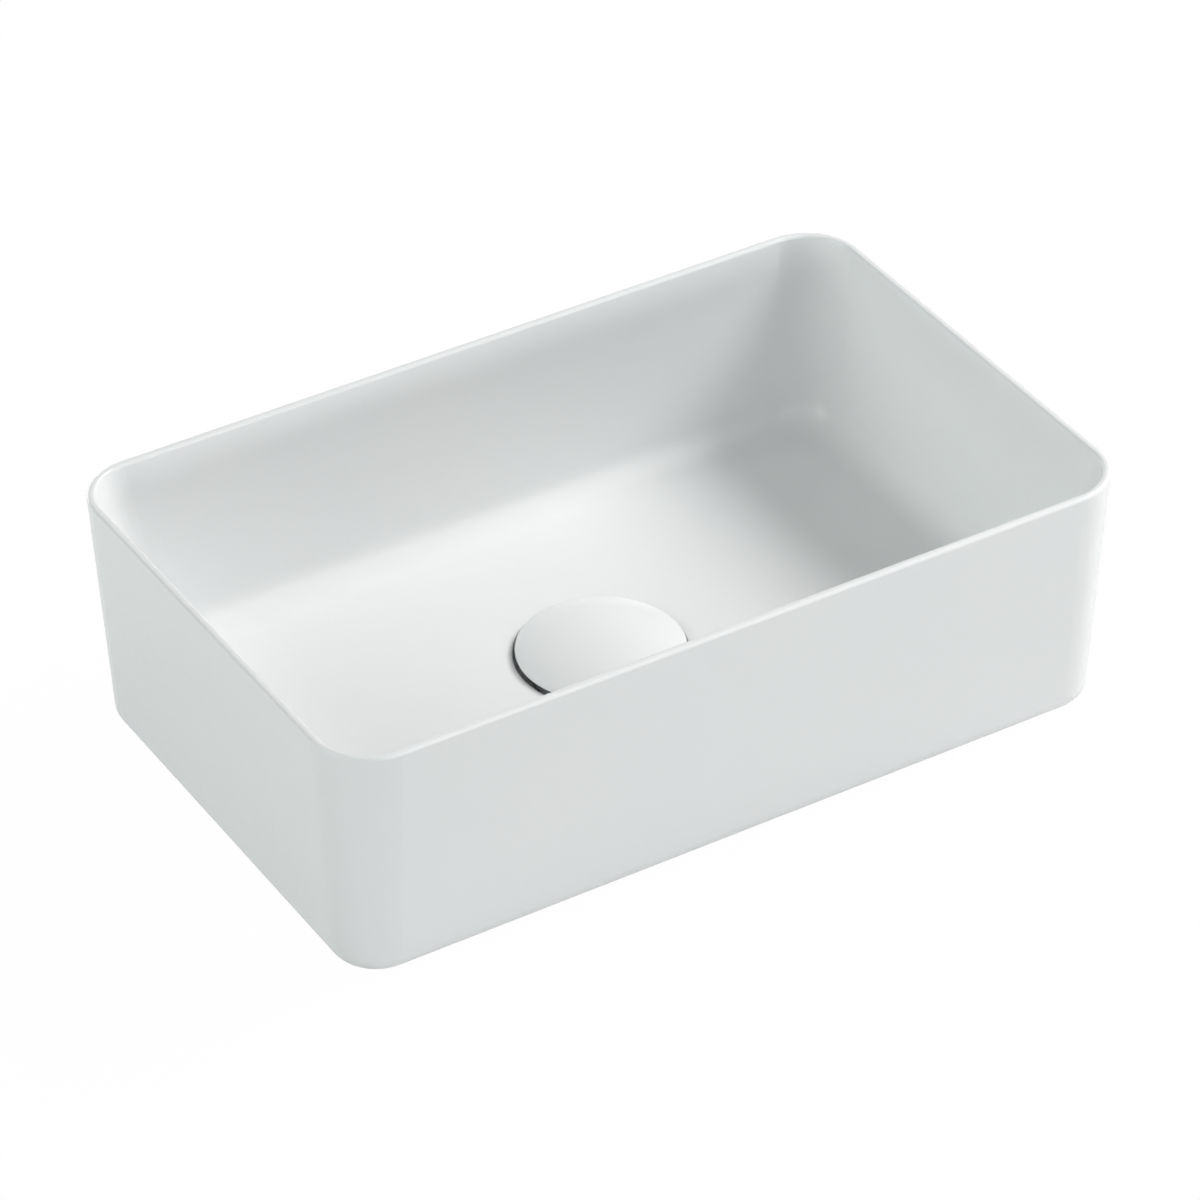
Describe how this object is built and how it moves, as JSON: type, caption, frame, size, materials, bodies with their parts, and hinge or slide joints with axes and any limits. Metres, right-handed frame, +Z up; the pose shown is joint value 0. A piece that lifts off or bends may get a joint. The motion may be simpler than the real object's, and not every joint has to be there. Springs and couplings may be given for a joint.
{
  "type": "washbasin",
  "caption": "Rectangular counter-top washbasin with thin rim, rounded corners and sweeping bowl, and a push-open drain under a domed ceramic cover.",
  "frame": {"origin": "on the worktop, at the middle of the foot, under the drain", "axes": "+Z up, X along the length, the front faces -Y"},
  "size_m": [0.3998, 0.2498, 0.169],
  "materials": {
    "glaze": "satin-gloss white glaze",
    "chromed_brass": "bright chrome plate",
    "brass": "turned, dull",
    "steel": "plain stainless",
    "rubber": "matt black",
    "nylon": "moulded, matt",
    "acetal": "turned, slightly shiny",
    "fibre": "pressed fibre, matt"
  },
  "bodies": {
    "basin": {"basin_shell": "glaze", "flange_gasket": "rubber", "waste_body": "chromed_brass", "under_gasket": "rubber", "slip_washer": "nylon", "lock_nut": "brass", "fibre_washer": "fibre", "cartridge_barrel": "brass", "guide_pins": "steel", "guide_bush": "acetal", "barrel_plug": "brass", "return_spring": "steel"},
    "plunger": {"stem": "brass", "thrust_washer": "steel", "stem_clip": "steel", "lip_seal": "rubber", "clamp_plate": "steel", "jam_nut": "brass", "cover_insert": "brass", "drain_cover": "glaze"},
    "cam": {"cam_sleeve": "acetal"}
  },
  "joints": [
    {"name": "cover_press", "type": "slide", "parent": "basin", "child": "plunger", "axis": [0, 0, 1], "range_m": [-0.0065, 0], "stiffness_N_per_m": 500, "springref_m": 0.02, "deforming": ["return_spring"]},
    {"name": "cam_index", "type": "hinge", "parent": "plunger", "child": "cam", "pos_m": [0, 0, 0], "axis": [0, 0, 1], "range_deg": [-45, 0]}
  ],
  "couplings": [
    {"joint": "cam_index", "follows": "cover_press", "rad_per_m": 120.8}
  ]
}
